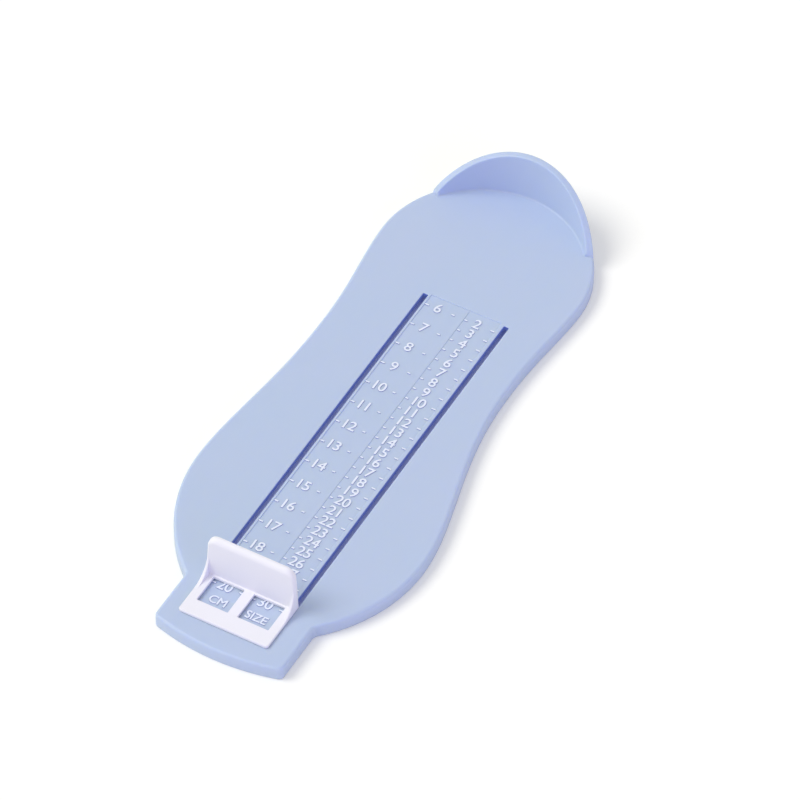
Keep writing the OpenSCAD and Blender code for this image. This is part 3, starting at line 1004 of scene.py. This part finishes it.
def retainer():
    """The retainer: a rounded clip plate with an opening for each leg."""
    slots_at = SHIFT + Vector((SLOT_SHIFT, 0, 0))
    low, high = retainer_low - slots_at, retainer_high - slots_at
    bm = bmesh.new()
    ends = []
    for a, b, radius, way in retainer_loops(low, high):
        edge = way * RETAINER_ROUND
        levels = [(edge, low.z), (0, low.z + RETAINER_ROUND), (0, high.z - RETAINER_ROUND), (edge, high.z)]
        ends.append(loft(bm, [rounded_rect(a, b, radius, grow, z) for grow, z in levels]))
    for rings in zip(*ends):
        fill(bm, rings)
    on_slots(bm)
    finish("clip_retainer", bm, [retainer_white], "slider", ["slider_retainer"])


# ---- Studio ----

VIEW_AZ = 29.478
VIEW_EL = 47.941
VIEW_DISTANCE = 2.2578
VIEW_TARGET = (0.00224, 0.009105, 0.0054)
LENS = 308.17
NEAR_CLIP = 0.05
FAR_CLIP = 20


def place_camera():
    """The camera at the photograph's viewing angle."""
    az, el = radians(VIEW_AZ), radians(VIEW_EL)
    back = Vector((sin(az) * cos(el), -cos(az) * cos(el), sin(el)))
    data = bpy.data.cameras.new("camera")
    data.lens = LENS
    data.clip_start = NEAR_CLIP
    data.clip_end = FAR_CLIP
    camera = bpy.data.objects.new("camera", data)
    camera.location = Vector(VIEW_TARGET) + back * VIEW_DISTANCE
    camera.rotation_euler = back.to_track_quat("Z", "Y").to_euler()
    bpy.context.scene.collection.objects.link(camera)
    bpy.context.scene.camera = camera


SKY_LEVEL = 0.62
SUN_LEVEL = 1.45
SUN_FROM = (-0.58, -0.28, 0.765)
SUN_SOFTNESS = 34
FILL_LEVEL = 0.9
FILL_COLOUR = (0.33, 0.25, 1.0)
FILL_FROM = (0.85, -0.5, 0.12)
FILL_SOFTNESS = 60


def soft_sun(name, level, colour, way, softness):
    """One broad soft light from far away."""
    sun = bpy.data.lights.new(name, "SUN")
    sun.energy = level
    sun.color = colour
    sun.angle = radians(softness)
    lamp = bpy.data.objects.new(name, sun)
    lamp.rotation_euler = Vector(way).to_track_quat("Z", "Y").to_euler()
    bpy.context.scene.collection.objects.link(lamp)


def light_studio():
    """An even pale sky, a broad soft light from the left, and a low blue fill from the right."""
    world = bpy.data.worlds.new("studio")
    world.use_nodes = True
    nodes, links = world.node_tree.nodes, world.node_tree.links
    sky = nodes["Background"]
    sky.inputs["Color"].default_value = (1, 1, 1, 1)
    path = nodes.new("ShaderNodeLightPath")
    level = nodes.new("ShaderNodeMapRange")
    level.inputs["To Min"].default_value = SKY_LEVEL
    level.inputs["To Max"].default_value = 1
    links.new(path.outputs["Is Camera Ray"], level.inputs["Value"])
    links.new(level.outputs["Result"], sky.inputs["Strength"])
    bpy.context.scene.world = world
    soft_sun("key_light", SUN_LEVEL, (1, 1, 1), SUN_FROM, SUN_SOFTNESS)
    soft_sun("fill_light", FILL_LEVEL, FILL_COLOUR, FILL_FROM, FILL_SOFTNESS)


# The floor in metres. UNDER_MIDDLE and UNDER_HALF frame the slots on it, where the floor has a painted blue
# glow.
FLOOR_HALF = 3.0
FLOOR_GAP = 0.00005
FLOOR_BASE = (0.93, 0.93, 0.88, 1)
FLOOR_LIFT = (0.12, 0.12, 0.12, 1)
UNDER_MIDDLE = (0.0016, -0.025, 0)
UNDER_HALF = (0.018, 0.083, 1)
UNDER_SLOTS_PAINTED_GLOW = (0.03, 0.042, 0.2, 1)


def under_slots(nodes, links):
    """Socket that is 0 on the floor under the slots and what is between them, where the painted glow goes,
    and 1 elsewhere.
    """
    place = nodes.new("ShaderNodeTexCoord")
    box = nodes.new("ShaderNodeMapping")
    box.vector_type = "TEXTURE"
    box.inputs["Location"].default_value = UNDER_MIDDLE
    box.inputs["Scale"].default_value = UNDER_HALF
    links.new(place.outputs["Object"], box.inputs["Vector"])
    size = nodes.new("ShaderNodeVectorMath")
    size.operation = "ABSOLUTE"
    links.new(box.outputs["Vector"], size.inputs[0])
    axes = nodes.new("ShaderNodeSeparateXYZ")
    links.new(size.outputs["Vector"], axes.inputs["Vector"])
    farther = nodes.new("ShaderNodeMath")
    farther.operation = "MAXIMUM"
    links.new(axes.outputs["X"], farther.inputs[0])
    links.new(axes.outputs["Y"], farther.inputs[1])
    outside = nodes.new("ShaderNodeMath")
    outside.operation = "GREATER_THAN"
    outside.inputs[1].default_value = 1
    links.new(farther.outputs["Value"], outside.inputs[0])
    return outside.outputs["Value"]


def floor_material():
    """Plain white, lifted a little for the camera. Under the slots the lift is a painted blue glow instead,
    in place of the shade seen through them.
    """
    material = bpy.data.materials.new("floor_white")
    material.use_nodes = True
    nodes, links = material.node_tree.nodes, material.node_tree.links
    surface = nodes["Principled BSDF"]
    surface.inputs["Base Color"].default_value = FLOOR_BASE
    surface.inputs["Roughness"].default_value = 1
    surface.inputs["Specular IOR Level"].default_value = 0
    lift = nodes.new("ShaderNodeMix")
    lift.data_type = "RGBA"
    lift.inputs["A"].default_value = UNDER_SLOTS_PAINTED_GLOW
    lift.inputs["B"].default_value = FLOOR_LIFT
    links.new(under_slots(nodes, links), lift.inputs["Factor"])
    links.new(lift.outputs["Result"], surface.inputs["Emission Color"])
    path = nodes.new("ShaderNodeLightPath")
    links.new(path.outputs["Is Camera Ray"], surface.inputs["Emission Strength"])
    return material


def pale_floor():
    """A wide floor, just under the gauge."""
    bm = bmesh.new()
    bmesh.ops.create_grid(bm, x_segments=1, y_segments=1, size=FLOOR_HALF)
    mesh = bpy.data.meshes.new("floor")
    bm.to_mesh(mesh)
    bm.free()
    mesh.materials.append(floor_material())
    floor = bpy.data.objects.new("floor", mesh)
    floor.location.z = -FLOOR_GAP
    bpy.context.scene.collection.objects.link(floor)


place_camera()
light_studio()
pale_floor()
gauge_plate()
scale_marks()
numerals()
toe_slider()
retainer()
bpy.context.scene.view_settings.view_transform = "Standard"
